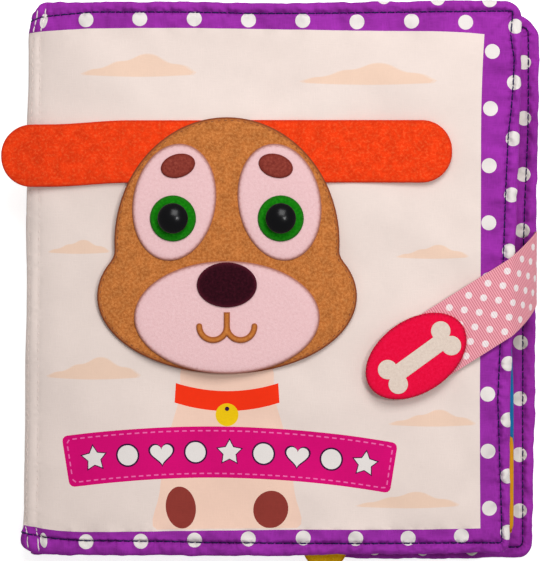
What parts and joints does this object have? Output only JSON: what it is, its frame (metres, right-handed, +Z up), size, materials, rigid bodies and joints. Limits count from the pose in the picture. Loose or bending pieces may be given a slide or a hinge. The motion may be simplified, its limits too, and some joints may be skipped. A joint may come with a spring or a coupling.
{
  "type": "felt baby book",
  "caption": "Soft cloth activity book with padded covers and spine, padded leaves, a felt puppy's head with long ears and a ribbon strap that holds it shut.",
  "frame": {"origin": "centre of the back cover's outer face", "axes": "+X from the spine to the fore-edge, +Y to the head of the pages, +Z up through the book to the front cover"},
  "size_m": [0.2193, 0.2271, 0.0469],
  "materials": {
    "cover_cloth": "printed cotton, matt",
    "page_cloth": "printed cotton, matt",
    "yellow_felt": "felt",
    "brown_felt": "felt",
    "orange_felt": "felt",
    "pink_felt": "felt",
    "plum_felt": "felt",
    "mouth_felt": "felt",
    "brow_felt": "felt",
    "green_felt": "felt",
    "black_plastic": "polished",
    "white_plastic": "moulded",
    "closure_tape": "hook and loop tape",
    "pink_ribbon": "ribbed grosgrain",
    "crimson_felt": "felt",
    "cream_felt": "felt"
  },
  "bodies": {
    "back": {"back_cover": "cover_cloth", "strap": "pink_ribbon", "hook_disc": "closure_tape", "badge": "crimson_felt", "bone": "cream_felt"},
    "block": {"page_block": "page_cloth", "spine": "cover_cloth", "page_tab": "yellow_felt"},
    "front": {"front_cover": "cover_cloth", "head": "brown_felt", "left_ear": "orange_felt", "right_ear": "orange_felt", "left_eye_patch": "pink_felt", "right_eye_patch": "pink_felt", "left_brow": "brow_felt", "right_brow": "brow_felt", "left_iris": "green_felt", "right_iris": "green_felt", "left_eye": "black_plastic", "right_eye": "black_plastic", "left_eye_washer": "white_plastic", "right_eye_washer": "white_plastic", "muzzle": "pink_felt", "nose": "plum_felt", "mouth": "mouth_felt", "loop_disc": "closure_tape"}
  },
  "joints": [
    {"name": "back_cover_hinge", "type": "hinge", "parent": "back", "child": "block", "pos_m": [-0.104, 0, 0], "axis": [0, 1, 0], "range_deg": [-90, 0], "deforming": ["strap", "hook_disc", "badge", "bone"]},
    {"name": "front_cover_hinge", "type": "hinge", "parent": "block", "child": "front", "pos_m": [-0.0995, 0, 0.0375], "axis": [0, -1, 0], "range_deg": [0, 180], "deforming": ["left_ear"]}
  ]
}
